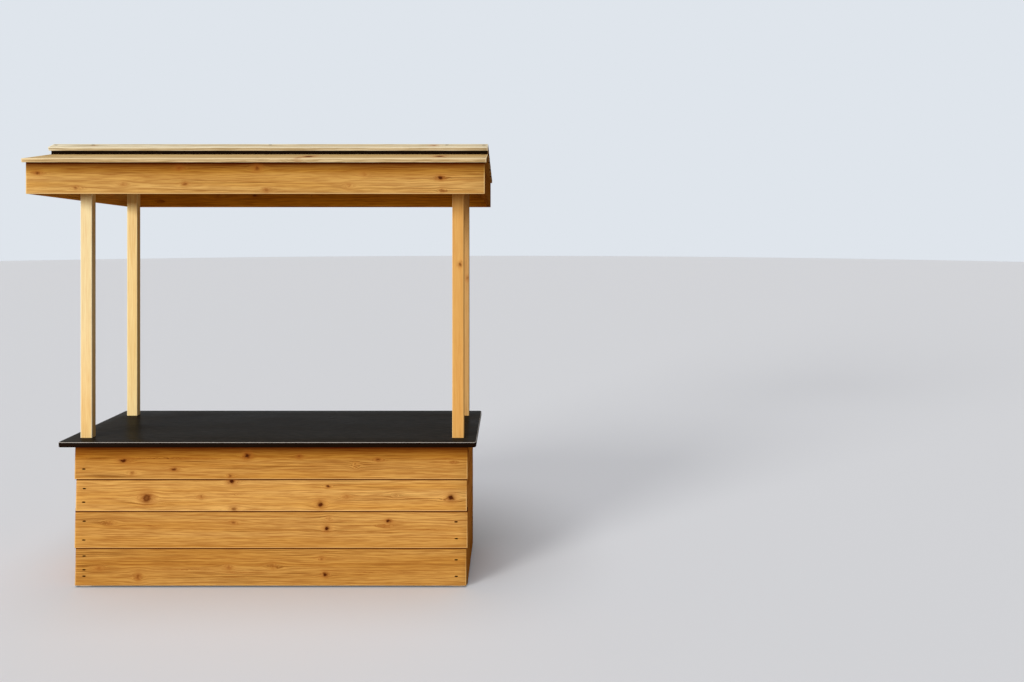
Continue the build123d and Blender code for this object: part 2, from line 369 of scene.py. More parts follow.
# %% [markdown]
# ## Measuring a board
# A board's size and place are read from its CAD mesh. Its flat back is found as the widest
# face that looks a given way, which gives the board's own frame: X along the grain, Y
# across, and Z away from the back, out of the face that shows. Its corners in that frame are
# its real sizes.

# %% Measure
FRONT = Vector((0, -1, 0))
REAR = Vector((0, 1, 0))
LEFT = Vector((-1, 0, 0))
RIGHT = Vector((1, 0, 0))
UP = Vector((0, 0, 1))
DOWN = Vector((0, 0, -1))
# The least dot product of two directions that are roughly alike, and of two that are nearly one
SAME_WAY = 0.8
SQUARE_ON = 0.99


def set_place(turn, origin):
    """The matrix from a board's own frame in mm to the stall's frame in metres."""
    return Matrix.LocRotScale(origin, turn, None) @ Matrix.Scale(MM, 4)


def measure(node, back, along=None):
    """A node's board in its own frame, in mm: how the frame is turned, its corners, its lowest
    and highest corner, its size and middle, and the matrix of its lower back edge."""
    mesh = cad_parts[node].data
    facing = [p for p in mesh.polygons if p.normal.dot(back) > SAME_WAY]
    outward = -max(facing, key=lambda p: p.area).normal
    along = along or UP.cross(outward).normalized()
    turn = Matrix((along, outward.cross(along), outward)).transposed()
    corners = [turn.transposed() @ v.co / MM for v in mesh.vertices]
    lowest = Vector([min(c[i] for c in corners) for i in range(3)])
    highest = Vector([max(c[i] for c in corners) for i in range(3)])
    middle = (lowest + highest) / 2
    place = set_place(turn, turn @ Vector((middle.x, lowest.y, lowest.z)) * MM)
    return SimpleNamespace(node=node, turn=turn, corners=corners, lowest=lowest, highest=highest,
                           size=highest - lowest, middle=middle, place=place)


print("bottom front plank:", [round(v, 1) for v in measure("front_plank_1", REAR).size], "mm")

# %% [markdown]
# ## Pine boards
# The grain has to run along each board, whichever way the board lies. A Mapping node set to Texture turns the
# stall's coordinates into the board's own frame in mm, and everything after it is drawn there: knots first,
# because they bend the grain, then the figure, and last what use and light have done. Rubbed arrises go pale,
# which also paints the highlight that an eased arris catches, and end grain drinks oil and darkens. Under the
# next board's lap the board is darkened by dirt and painted shade, which thin out fast at first, and faces
# that look down are painted with shade. The worktop and the eave paint their shade on the boards below them
# in the same way, and one post is painted with shade that deepens towards its foot. Each of these is a coat
# of colour over the ones before, with its own share of the surface.

# %% Pine finishes
FINISHES = {
    # Colours from the palest wood to the rubbed one, which also serves as a painted highlight, then ring in
    # mm, how strong the lines, the fibre and the streaks are, and the roughness.
    # Oiled pine planks: golden and fairly matt, with clear lines and knots
    "oiled": {"early": "e4b364", "deep": "d7a04d", "late": "9c5c22", "streak": "75400f", "worn_and_lit": "f3ca84",
              "ring": 14.5, "lines": 0.46, "fibre": 0.52, "streaks": 0.9, "rough": 0.58},
    # Planed pale posts: nearly white sapwood, the lines faint
    "pale": {"early": "ffe9bc", "deep": "fbdfae", "late": "dca967", "streak": "c08a48", "worn_and_lit": "fff4da",
             "ring": 7.0, "lines": 0.32, "fibre": 0.28, "streaks": 0.25, "rough": 0.52},
    # Roof boards, greyed a little by sun and rain
    "weathered": {"early": "dccaa2", "deep": "cbb285", "late": "93733f", "streak": "6d5230", "worn_and_lit": "e3d3ae",
                  "ring": 11.0, "lines": 0.5, "fibre": 0.6, "streaks": 0.5, "rough": 0.7},
    # Sawn framing, left as it came from the mill
    "sawn": {"early": "dca962", "deep": "cf954a", "late": "a2652c", "streak": "804a1c", "worn_and_lit": "e9c490",
             "ring": 6.5, "lines": 0.5, "fibre": 0.5, "streaks": 0.4, "rough": 0.75},
}
KNOT_TONES = [(0.0, "b0682a"), (0.35, "9a5520"), (0.7, "6a3310"), (1.0, "391a0a")]
KNOT_STRENGTH = 1.25
# How long the bulges of a knot's outline are, and how far they move it, in mm
KNOT_BLOTCH = (22, 13, 400)
KNOT_BLUR = (26, 16, 0)
KNOT_DEPTH = 400
# Pale rubbed arrises, which are wear and a painted highlight: how wide the band is in mm, and how strong
WEAR_AND_HIGHLIGHT_WIDTH = 8
WEAR_AND_HIGHLIGHT_STRENGTH = 0.8
END_GRAIN = "6a3f1a"
END_FALL = 4.0
END_STRENGTH = 0.6
# Darkening under a lap, under the worktop and under the eave, partly dirt and partly painted shade: its
# colour, the warmer and deeper tint that reaches further, how much further, and how fast it thins out
DIRT_AND_SHADE_COLOUR = "4a0e00"
SHADE_AND_SOAK_TINT = (1.0, 0.86, 0.48, 1)
SHADE_AND_SOAK_SPREAD = 3
DARKENING_FALL = 1.5
# How much a face looks down where it starts to take the painted shade of an under side, and where it has all
# of it
LOOKS_DOWN = (0.12, 0.55)
FIBRE_RELIEF = 0.4
LATEWOOD_RELIEF = 0.6
RELIEF_STRENGTH = 0.6
RELIEF_DEPTH = 0.4
SHEEN_SPREAD = 0.12


def pine(board, name, finish, pith, tilt, knots=(), seed=1, tint=(1, 1, 1), shade_and_dirt_band=None, lengthwise_shade=None):
    """Solid pine for one board. pith is where the trunk's middle passes, (across, outward) in mm, and tilt
    how many mm per metre it drifts outward. Each knot is (along, across, half length, half height, darkness)
    in mm from the board's middle, and may end with how pale its heart is. The darkened band under an edge is
    (across, height, height of the part at full strength, strength, strength on the board's own under side).
    It is dirt and painted shade under a lap, painted shade under the worktop and under the eave, and painted
    shade on faces that look down. The lengthwise tint is (along where it starts, along where it is full, its
    tint), painted shade that deepens along the board."""
    look = FINISHES[finish]
    material, tree, shader = new_material(name)
    grow = partial(add, tree)
    turn, half = board.turn, board.size / 2
    where = grow("TexCoord").outputs
    place = grow("Mapping",
                 {"Vector": where["Object"], "Location": turn @ board.middle * MM,
                  "Rotation": turn.to_euler(), "Scale": (MM, MM, MM)}, vector_type="TEXTURE")
    own = grow("SeparateXYZ", {0: place}).outputs

    # Knots, with an uneven outline
    own_place = grow("VectorMath", {0: place, 1: [seed * step for step in SEED_STEP]}, "ADD")
    spread = grow("VectorMath", {0: own_place, 1: KNOT_BLOTCH}, "DIVIDE")
    uneven = grow("TexNoise", {"Vector": spread, "Scale": 1.0, "Detail": 3.0}).outputs["Color"]
    centred = grow("VectorMath", {0: uneven, 1: (0.5, 0.5, 0.5)}, "SUBTRACT")
    knot_place = grow("VectorMath", {0: centred, 1: KNOT_BLUR, 2: place}, "MULTIPLY_ADD")
    flow, shade = place, 0.0
    for along, across, half_length, half_height, darkness, *heart in knots:
        bent = grow("Group",
                    {"Place": knot_place, "Flow": flow, "Shade": shade, "Centre": (along, across, 0),
                     "Size": (half_length, half_height, KNOT_DEPTH), "Darkness": darkness,
                     "Heart": heart[0] if heart else 0.0}, node_tree=knot_group).outputs
        flow, shade = bent["Flow"], bent["Shade"]

    # Growth lines, fibres, tone and streaks
    figure = grow("Group",
                  {"Flow": flow, "Seed": float(seed), "Pith": (0, *pith), "Tilt": -tilt * MM,
                   "Ring": look["ring"]}, node_tree=figure_group).outputs
    tinted = {part: [c * t for c, t in zip(linear(look[part]), (*tint, 1))]
              for part in ("early", "deep", "late", "streak", "worn_and_lit")}
    coats = [(figure["Tone"], tinted["deep"], "MIX")]
    for part, strength, above in (("Latewood", "lines", "late"), ("Fibre", "fibre", "late"),
                                  ("Streak", "streaks", "streak")):
        share = grow("Math", {0: figure[part], 1: look[strength]}, "MULTIPLY")
        coats.append((share, tinted[above], "MIX"))
    # Painted shade that deepens and warms along the board
    if lengthwise_shade:
        start, full, shade_tint = lengthwise_shade
        share = grow("MapRange", {"Value": own["X"], "From Min": full, "From Max": start,
                                  "To Min": 1.0, "To Max": 0.0})
        coats.append((share, (*shade_tint, 1), "MULTIPLY"))

    # Rubbed arrises, pale from wear and as a painted highlight. A point is near an edge of the board's box
    # when the middle one of its distances to the box's ends, edges and outer face is small.
    away = grow("VectorMath", {0: place}, "ABSOLUTE")
    inset = grow("VectorMath", {0: half, 1: away}, "SUBTRACT")
    inset = grow("SeparateXYZ", {0: inset}).outputs
    depth = grow("Math", {0: half.z, 1: own["Z"]}, "SUBTRACT")
    lesser = grow("Math", {0: inset["X"], 1: inset["Y"]}, "MINIMUM")
    greater = grow("Math", {0: inset["X"], 1: inset["Y"]}, "MAXIMUM")
    greater = grow("Math", {0: greater, 1: depth}, "MINIMUM")
    middle = grow("Math", {0: lesser, 1: greater}, "MAXIMUM")
    wear_and_highlight = grow("MapRange", {"Value": middle, "From Min": WEAR_AND_HIGHLIGHT_WIDTH, "From Max": 1.0,
                             "To Min": 0.0, "To Max": WEAR_AND_HIGHLIGHT_STRENGTH},
                interpolation_type="SMOOTHSTEP")
    coats.append((wear_and_highlight, tinted["worn_and_lit"], "MIX"))

    # End grain, and the darkening under the next board, which is dirt and painted shade, with painted shade
    # on faces that look down
    end = grow("VectorMath", {0: where["Normal"], 1: turn.col[0]}, "DOT_PRODUCT")
    end = grow("Math", {0: end, 1: END_FALL}, "POWER")
    end = grow("Math", {0: end, 1: END_STRENGTH}, "MULTIPLY")
    coats.append((end, linear(END_GRAIN), "MIX"))
    if shade_and_dirt_band:
        across, height, full, strength, underside_shade = shade_and_dirt_band
        dirt_and_shade = grow("MapRange", {"Value": own["Y"], "From Min": across - height, "From Max": across - full})
        dirt_and_shade = grow("Math", {0: dirt_and_shade, 1: DARKENING_FALL}, "POWER")
        dirt_and_shade = grow("Math", {0: dirt_and_shade, 1: strength}, "MULTIPLY")
        down = grow("VectorMath", {0: where["Normal"], 1: -turn.col[1]}, "DOT_PRODUCT")
        down = grow("MapRange", {"Value": down, "From Min": LOOKS_DOWN[0],
                                 "From Max": LOOKS_DOWN[1], "To Min": 0.0, "To Max": underside_shade},
                    interpolation_type="SMOOTHSTEP")
        dirt_and_shade = grow("Math", {0: dirt_and_shade, 1: down}, "MAXIMUM")
        # A warmer, deeper tint reaches further than the darkening: the warm colour of painted shade, and of
        # water's stain under a lap
        shade_and_soak = grow("Math", {0: dirt_and_shade, 1: SHADE_AND_SOAK_SPREAD}, "MULTIPLY", use_clamp=True)
        coats += [(shade_and_soak, SHADE_AND_SOAK_TINT, "MULTIPLY"), (dirt_and_shade, linear(DIRT_AND_SHADE_COLOUR), "MIX")]
    if knots:
        knot_tone = grow("ValToRGB", {"Fac": shade}, stops=KNOT_TONES)
        share = grow("Math", {0: shade, 1: KNOT_STRENGTH}, "MULTIPLY", use_clamp=True)
        coats.append((share, knot_tone, "MIX"))
    colour = tinted["early"]
    for share, coat, blend in coats:
        colour = grow("Mix", {"Factor": share, "A": colour, "B": coat}, data_type="RGBA", blend_type=blend)
    tree.links.new(colour.outputs["Result"], shader.inputs["Base Color"])

    # Latewood is harder than earlywood, so it stands a little proud once planed
    height = grow("Math", {0: figure["Fibre"], 1: FIBRE_RELIEF}, "MULTIPLY")
    height = grow("Math", {0: figure["Latewood"], 1: LATEWOOD_RELIEF, 2: height}, "MULTIPLY_ADD")
    raised = grow("Bump", {"Height": height, "Strength": RELIEF_STRENGTH, "Distance": RELIEF_DEPTH * MM})
    tree.links.new(raised.outputs["Normal"], shader.inputs["Normal"])
    sheen = grow("Math", {0: figure["Fibre"], 1: SHEEN_SPREAD, 2: look["rough"] - SHEEN_SPREAD / 2},
                 "MULTIPLY_ADD")
    tree.links.new(sheen.outputs[0], shader.inputs["Roughness"])
    shader.inputs["IOR"].default_value = 1.5
    # A coat of any gloss would mirror the pale horizon on faces seen edge on and turn them
    # grey. Rough timber doesn't.
    shader.inputs["Specular IOR Level"].default_value = 0
    return material


print("finishes:", ", ".join(FINISHES))

# %% [markdown]
# ## Where each board's knots are
# The front of the stall is seen closely, so its knots stand where the photograph shows
# them: along the stall, then height above the floor, both in mm. A drying check is a slit
# along the grain, and the same group draws it, as a knot far longer than it is high. The
# other boards get a few knots from a seeded generator, the same ones each run.

# %% Knots
PLACED_KNOTS = {
    # node: (x, z, half length, half height, darkness, and for one how pale its heart is)
    "front_plank_4": [(-876, 749, 23, 11, 0.95), (-574, 699, 16, 9, 0.85), (-822, 678, 14, 12, 0.5),
                      (-142, 779, 16, 15, 1.0), (-242, 661, 11, 9, 0.7), (166, 773, 12, 10, 0.65),
                      (634, 755, 15, 8, 0.75), (498, 721, 9, 15, 0.32), (1080, 740, 13, 9, 0.4),
                      (-640, 763, 175, 1.6, 0.85), (1060, 757, 34, 1.4, 0.6)],
    "front_plank_3": [(-736, 527, 24, 25, 1.0, 0.3), (-236, 627, 19, 14, 1.0), (-414, 536, 11, 11, 0.5),
                      (-219, 465, 20, 15, 0.7), (338, 596, 13, 7, 0.9), (294, 491, 18, 18, 0.9),
                      (1066, 530, 21, 18, 1.0), (444, 536, 13, 11, 0.35), (740, 544, 11, 11, 0.24),
                      (-230, 548, 65, 1.4, 0.5)],
    "front_plank_2": [(-958, 380, 18, 15, 0.35), (-224, 382, 12, 9, 0.65), (329, 347, 14, 13, 1.0),
                      (344, 405, 12, 12, 0.4), (693, 391, 12, 9, 1.0), (680, 362, 20, 13, 0.28),
                      (-716, 363, 26, 1.6, 0.7), (930, 340, 75, 1.4, 0.55)],
    "front_plank_1": [(-787, 63, 12, 20, 0.6), (-254, 116, 14, 14, 0.45), (-1024, 113, 17, 12, 0.4),
                      (320, 75, 13, 13, 0.95), (296, 169, 10, 10, 0.55), (12, 124, 18, 16, 0.3),
                      (-480, 104, 78, 1.7, 0.6), (-200, 87, 62, 1.5, 0.6), (590, 86, 80, 1.5, 0.5)],
    "fascia_front": [(-1212, 2431, 17, 9, 0.75), (-995, 2348, 14, 9, 0.6), (-390, 2370, 12, 9, 0.65),
                     (-423, 2459, 17, 10, 0.55), (-734, 2370, 14, 10, 0.4), (10, 2459, 17, 15, 0.7),
                     (60, 2337, 14, 12, 0.55), (521, 2359, 14, 12, 0.32), (605, 2426, 14, 12, 0.3),
                     (1027, 2406, 16, 11, 0.95), (1038, 2334, 12, 10, 0.6)],
    "post_front_right": [(1117, 1913, 11, 9, 0.75)],
    "post_rear_right": [(1130, 1797, 13, 9, 0.55)],
    # These two are clear of knots
    "post_front_left": [],
    "post_rear_left": [],
}


def own_spot(board, x, y, z):
    """How far along and across a board a point of the stall is from its middle, in mm."""
    return (board.turn.transposed() @ Vector((x, y, z)) - board.middle).xy


def knots_of(board, seed, count):
    """The board's knots: the placed ones, or else so many of them, spread along it."""
    if board.node in PLACED_KNOTS:
        return [(*own_spot(board, x, 0, z), *rest) for x, z, *rest in PLACED_KNOTS[board.node]]
    dice = random.Random(seed)
    half = board.size / 2
    knots = []
    for index in range(count):
        along = half.x * (2 * (index + dice.uniform(0.15, 0.85)) / count - 1)
        across = half.y * dice.uniform(-0.75, 0.75)
        size = dice.uniform(5, 13)
        knots.append((along, across, size * dice.uniform(1, 1.7), size, dice.uniform(0.3, 0.95)))
    return knots


print(sum(len(k) for k in PLACED_KNOTS.values()), "knots placed by hand")

# %% [markdown]
# ## Crushed fibres, nails, bolts, felt and edges
# Where a nail was driven, the fibres are torn and dark. The nail itself was bright steel once, and rain has
# turned it nearly black. The bolts under the roof stay dry, so they keep the dull grey of zinc. The worktop's
# edge is a glued band, scuffed lengthwise, and its upper arris is painted pale, for wear and for the
# highlight that it catches. The black felt under the ridge board stands for the shade in the gap there. All
# are small or thin, so each needs just one clear trait: two tones in a fine noise. On parts as small as nails
# a mirrored sky would only look grey, so most of them have no specular at all.

# %% Simple materials
SIMPLE_MATERIALS = {
    # name: (blotches per metre along X, Y and Z, detail, colour, other colour, least and most
    # roughness, metallic, specular level). 900 in a metre are about 1 mm each, and 14 are 70 mm.
    "crushed_pine_fibres": ((900, 900, 900), 2, "1e0800", "320f02", (0.75, 0.95), 0, 0),
    "rusted_nail_steel": ((700, 700, 700), 2, "140600", "240d03", (0.65, 0.85), 0, 0),
    "dull_zinc_plate": ((420, 420, 420), 2, "8b8f91", "5c6062", (0.4, 0.6), 1, 0),
    "black_felt_for_ridge_shade": ((500, 500, 500), 2, "110904", "1f130a", (0.75, 0.95), 0, 0),
    "black_edge_band": ((9, 9, 160), 3, "0e0502", "1e1006", (0.4, 0.6), 0, 0.02),
    "rubbed_and_highlit_laminate_arris": ((14, 14, 14), 3, "a5a098", "d6d1c9", (0.5, 0.5), 0, 0.05),
}
simple = {}
for name, (blotches, detail, colour, other, (least, most), metallic, specular) in SIMPLE_MATERIALS.items():
    simple[name], tree, shader = new_material(name)
    where = add(tree, "TexCoord").outputs["Object"]
    where = add(tree, "VectorMath", {0: where, 1: blotches}, "MULTIPLY")
    grain = add(tree, "TexNoise", {"Vector": where, "Scale": 1.0, "Detail": detail})
    tone = add(tree, "Mix", {"Factor": grain, "A": linear(colour), "B": linear(other)}, data_type="RGBA")
    tree.links.new(tone.outputs["Result"], shader.inputs["Base Color"])
    sheen = add(tree, "MapRange", {"Value": grain, "To Min": least, "To Max": most})
    tree.links.new(sheen.outputs["Result"], shader.inputs["Roughness"])
    shader.inputs["Metallic"].default_value = metallic
    shader.inputs["Specular IOR Level"].default_value = specular
print(len(simple), "simple materials")

# %% [markdown]
# ## Boards by extrusion
# A sawmill pushes a board lengthwise through its cutters, so its section is drawn once
# and extruded along the grain. The lower arris is then eased with a rounded bevel and the
# ends with a small one, because no timber edge is sharp. Cross cuts give the mesh loops
# that can follow the slight bow and cup of seasoned wood. Nails crush a lens-shaped dent
# into soft pine, longer along the grain, and those dents are carved with a boolean.

# %% Board maker
CUT_SPACING = 130
END_EASE = 0.8
SHARP_ANGLE = 35
DENT = (11, 4.2, 3.0)
NAIL_SINK = 2.0
NAIL_RADIUS = 3.4
NAIL_TOP_RADIUS = 2.89
NAIL_HEAD_DEPTH = 1.2
# A seasoned board moves by this much at most, and its bow and cup wander over these lengths
BOW = 0.7
BOW_LENGTH = 480
CUP_LENGTH = 260
CUP_WIDTH = 70
# Each one's share of the movement, and how far apart in its noise two seeds are
BOW_SHARE, BOW_STEP = 0.6, 3.7
CUP_SHARE, CUP_STEP = 0.4, 1.9


def season(point, thickness, seed):
    """The point, in mm, after the board has moved: its face bows and cups inwards only."""
    slow = noise.noise(Vector((point.x / BOW_LENGTH, seed * BOW_STEP, 0.5)))
    cup = noise.noise(Vector((point.x / CUP_LENGTH, point.y / CUP_WIDTH, seed * CUP_STEP)))
    depth = BOW * (1 + BOW_SHARE * slow + CUP_SHARE * cup) / 2
    return point - Vector((0, 0, depth * max(0, point.z / thickness)))


def ease(bm, edges, radius, segments):
    """Round these edges."""
    bmesh.ops.bevel(bm, geom=edges, offset=radius, affect="EDGES", segments=segments, profile=0.5,
                    material=-1)


def carve(piece, cutter):
    """Cut the cutter's shape out of the piece, and keep the result as its mesh."""
    modifier = piece.modifiers.new("dents", "BOOLEAN")
    modifier.object = cutter
    modifier.solver = "EXACT"
    graph = bpy.context.evaluated_depsgraph_get()
    carved = bpy.data.meshes.new_from_object(piece.evaluated_get(graph))
    piece.modifiers.clear()
    piece.data = carved
    bpy.data.objects.remove(cutter)


def smooth(piece):
    """Shade a piece smooth, but keep its real edges sharp."""
    piece.data.shade_smooth()
    piece.data.set_sharp_from_angle(angle=math.radians(SHARP_ANGLE))


def keep_piece(piece, slot, *nodes):
    """Let a finished piece ride on the stall, and hide the nodes it stands for. Its slot is not used."""
    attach(piece, "root")
    if nodes:
        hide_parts(*nodes)


def small_parts(bm, name, slot, material):
    """Turn a mesh of many small parts into one piece."""
    piece = to_object(bm, name, simple[material])
    keep_piece(piece, slot)
    return piece


def nail_points(spots, cover, butt, tip):
    """Points on the face of a board that thins from butt to tip, from (along, across) ones."""
    return [Vector((along, across, butt - (butt - tip) * across / cover)) for along, across in spots]


def make_board(board, name, slot, section, wood, seed, radius, nails=(), butt=0, heads=None):
    """Extrude a section of (across, out) points in mm, ease its first corner to the radius,
    dent it, let it move, and set it in its node's place. nails are points on its face, which
    is butt thick at its lower edge, and their heads go into the bmesh heads."""
    length = board.size.x
    bm = bmesh.new()
    corners = [bm.verts.new((-length / 2, across, out)) for across, out in section]
    end = bm.faces.new(corners)
    grown = bmesh.ops.extrude_face_region(bm, geom=[end])["geom"]
    bmesh.ops.translate(bm, verts=[g for g in grown if isinstance(g, bmesh.types.BMVert)],
                        vec=(length, 0, 0))
    bmesh.ops.recalc_face_normals(bm, faces=bm.faces)
    across, out = section[0]
    arris = [e for e in bm.edges
             if all(abs(v.co.y - across) + abs(v.co.z - out) < 0.01 for v in e.verts)]
    ease(bm, arris, radius, 4)
    ease(bm, [e for e in bm.edges if any(abs(f.normal.x) > SQUARE_ON for f in e.link_faces)], END_EASE, 2)
    cuts = round(length / CUT_SPACING)
    for step in range(1, cuts):
        bmesh.ops.bisect_plane(bm, geom=bm.verts[:] + bm.edges[:] + bm.faces[:],
                               plane_co=(length * (step / cuts - 0.5), 0, 0), plane_no=(1, 0, 0))
    materials = [wood, simple["crushed_pine_fibres"]] if nails else [wood]
    piece = to_object(bm, name, *materials)

    if nails:
        bm = bmesh.new()
        for point in nails:
            bmesh.ops.create_uvsphere(bm, u_segments=14, v_segments=8, radius=1,
                                      matrix=Matrix.Translation(point) @ Matrix.Diagonal((*DENT, 1)))
        for face in bm.faces:
            face.material_index = 1
        carve(piece, to_object(bm, "cutter", *materials))

    thickness = max(out for across, out in section)
    for vertex in piece.data.vertices:
        vertex.co = board.place @ season(vertex.co, thickness, seed)
    smooth(piece)
    keep_piece(piece, slot, board.node)

    turned = UP.rotation_difference(board.turn.col[2]).to_matrix().to_4x4()
    for point in nails:
        spot = board.place @ (season(point, butt, seed) - Vector((0, 0, NAIL_SINK)))
        bmesh.ops.create_cone(heads, cap_ends=True, segments=12, radius1=NAIL_RADIUS * MM,
                              radius2=NAIL_TOP_RADIUS * MM, depth=NAIL_HEAD_DEPTH * MM,
                              matrix=Matrix.Translation(spot) @ turned)


print("dents of", [2 * d for d in DENT], "mm")

# %% [markdown]
# ## The counter's weatherboards
# Each wall is four weatherboards, 22 mm thick at the lower edge and planed to a taper, with
# a rebate that takes the tongue of the board below. Nails hold each end to the post behind.
# Builders nail by eye, so no two are quite level. On the front they stand where the photograph shows them.
# The courses differ in tone as the real front ones do, and the lowest is the darkest.

# %% Counter boards
BUTT = 22
TIP = 13
LAP = 16
REBATE_CLEARANCE = 0.5
ARRIS = 2.5
# Darkening under a lap, which is dirt and painted shade, and painted shade under the worktop, given after its
# place across the board
LAP_DIRT_AND_SHADE = (10, 7.5, 1.0, 1.0)
WORKTOP_SHADE = (135, 0, 1.25, 1.0)
NAIL_SHARES = (0.3, 0.68)
post_low, post_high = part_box("post_rear_right")
post_line = (post_low + post_high) / 2 / MM
WALLS = [("front", REAR, post_line.x), ("rear", FRONT, post_line.x),
         ("left", RIGHT, post_line.y), ("right", LEFT, post_line.y)]
FRONT_NAILS = {
    # course: (x, z) in mm
    1: [(-1108, 66), (-1109, 103), (-1110, 183), (1097, 65), (1096, 161)],
    2: [(-1109, 280), (-1109, 390), (1097, 288), (1095, 386)],
    3: [(-1110, 504), (-1108, 583)],
    4: [(-1109, 700)],
}
COURSE_TINTS = {1: (0.86, 0.81, 0.73), 2: (0.96, 0.93, 0.92), 3: (1.065, 1.085, 1.175),
                4: (0.955, 0.93, 0.915)}
# Both side walls are tinted warmer, which paints the warm shade on the right one
SIDE_SHADE_TINT = (1.13, 0.93, 0.77)


def weatherboard(width, rebated, tongued):
    """The section as (across, out) points, and the height that the board covers."""
    cover = width - LAP if tongued else width
    lean = (BUTT - TIP) / cover
    points = [(0, BUTT), (width, BUTT - lean * width), (width, 0)]
    if rebated:
        points += [(LAP + REBATE_CLEARANCE, 0), (LAP + REBATE_CLEARANCE, TIP + REBATE_CLEARANCE),
                   (0, TIP + REBATE_CLEARANCE)]
    else:
        points += [(0, 0)]
    return points, cover


for number, (wall, back, line) in enumerate(WALLS):
    dice = random.Random(40 + number)
    heads = bmesh.new()
    for course, course_tint in COURSE_TINTS.items():
        board = measure(f"{wall}_plank_{course}", back)
        section, cover = weatherboard(board.size.y, course > 1, course < 4)
        seed = 10 * number + course
        if wall == "front":
            spots = [(x - board.middle.x, z - board.lowest.y) for x, z in FRONT_NAILS[course]]
        else:
            spots = [(side * line + dice.uniform(-7, 7) - board.middle.x,
                      cover * (share + dice.uniform(-0.05, 0.05)))
                     for side in (-1, 1) for share in NAIL_SHARES]
        knots = knots_of(board, seed, 5 if board.size.x > 1000 else 2)
        brightness = dice.uniform(0.95, 1.04)
        tint = [part * brightness for part in course_tint]
        if wall in ("left", "right"):
            tint = [part * warmer for part, warmer in zip(tint, SIDE_SHADE_TINT)]
        pith = (dice.choice((-1, 1)) * dice.uniform(130, 260), -dice.uniform(60, 140))
        dirt_and_shade = WORKTOP_SHADE if course == 4 else LAP_DIRT_AND_SHADE
        wood = pine(board, f"oiled_pine_{wall}_{course}", "oiled", pith, dice.uniform(-30, 30), knots,
                    seed, tint, (cover - board.size.y / 2, *dirt_and_shade))
        make_board(board, f"counter_board_{wall}_{course}", "counter_planks", section, wood, seed, ARRIS,
                   nail_points(spots, cover, BUTT, TIP), BUTT, heads)
    small_parts(heads, f"nails_{wall}", "counter_planks", "rusted_nail_steel")
    print(wall, "wall: 4 boards")

# %% [markdown]
# ## The roof's boards
# The rear slope is weatherboarded like the counter, and one wide eave board covers the
# front. A narrow ridge board leans over the gap between the two. Roof boards are nailed to
# every rafter and to both gable boards. The weather has greyed them, and the ridge board
# most, so it is nearly cream.

# %% Roof boards
# As the placed knots above, but with all three coordinates, because this board slopes
EAVE_KNOTS = [(1014, -470, 2541, 24, 34, 1.0), (272, -480, 2538, 26, 36, 1.0),
              (238, -570, 2516, 13, 14, 0.9)]
# The eave board is darker towards its upper edge, under the ridge board
EAVE_DARKENING = (300, 100, 0.17, 0)
EAVE_TINT = (1.13, 1.12, 1.12)
RIDGE_TINT = (1.08, 1.22, 1.5)
# Nails stand over the middle rafter, the other rafters and the gable boards
nail_lines = [0.0]
for node in ("rafter_left", "rafter_right", "gable_board_left", "gable_board_right"):
    low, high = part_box(node)
    nail_lines.append((low.x + high.x) / 2 / MM)


def slab_section(board):
    """A board of even thickness, its upper edge sawn to the bevel that the CAD mesh shows."""
    outer_top = max(c.y for c in board.corners if c.z > board.highest.z - 0.1) - board.lowest.y
    inner_top = max(c.y for c in board.corners if c.z < board.lowest.z + 0.1) - board.lowest.y
    return [(0, board.size.z), (outer_top, board.size.z), (inner_top, 0), (0, 0)]


heads = bmesh.new()
roof_dice = random.Random(71)
roof_nodes = [f"roof_board_rear_{n}" for n in range(1, 6)] + ["eave_board_front", "ridge_board"]
for number, node in enumerate(roof_nodes):
    board = measure(node, DOWN)
    size = board.size
    seed = 60 + number
    section, cover, tip = slab_section(board), size.y, size.z
    tint, shade_and_dirt_band, shares = (1, 1, 1), None, (0.24, 0.76)
    if node == "eave_board_front":
        knots = [(*own_spot(board, x, y, z), *rest) for x, y, z, *rest in EAVE_KNOTS]
        tint, shade_and_dirt_band = EAVE_TINT, (size.y / 2, *EAVE_DARKENING)
    elif node == "ridge_board":
        knots = knots_of(board, seed, 2)
        tint, shares = RIDGE_TINT, (0.7,)
    else:
        section, cover = weatherboard(size.y, number > 0, number < 4)
        tip, knots, shade_and_dirt_band = TIP, knots_of(board, seed, 5), (cover - size.y / 2, *LAP_DIRT_AND_SHADE)
    spots = []
    for line in nail_lines:
        for share in shares:
            across = cover * (share + roof_dice.uniform(-0.04, 0.04))
            spots.append((line + roof_dice.uniform(-6, 6), across))
    pith = (roof_dice.choice((-1, 1)) * roof_dice.uniform(90, 200), -roof_dice.uniform(50, 110))
    wood = pine(board, f"weathered_pine_{node}", "weathered", pith, roof_dice.uniform(-25, 25), knots,
                seed, tint, shade_and_dirt_band)
    make_board(board, f"roof_{node}", "roof_boards", section, wood, seed, ARRIS,
               nail_points(spots, cover, size.z, tip), size.z, heads)
small_parts(heads, "nails_roof", "roof_boards", "rusted_nail_steel")
print(len(roof_nodes), "roof boards, nailed at", [round(line) for line in nail_lines])

# %% [markdown]
# ## Black felt for the shade under the ridge board
# The gap between the eave board and the ridge board is black in the photograph, which is deep shade. A strip
# of black roofing felt, tacked to the rafters' upright faces behind it, stands for that shade, and keeps rain
# out as well. It is a thin box that stands on the head of the eave board and ends under the ridge board,
# whose back face says how high that is.

# %% Felt strip
FELT_THICKNESS = 1.5
FELT_INSET = 3
FELT_PLAY = 0.2
# How far it goes down behind the eave board and up into the ridge board's back
FELT_BELOW = 2
FELT_ABOVE = 1


def block(bm, low, high):
    """A box between two corners in metres."""
    low, high = Vector(low), Vector(high)
    bmesh.ops.create_cube(bm, size=1, matrix=Matrix.Translation((low + high) / 2)
                          @ Matrix.Diagonal((*(high - low), 1)))


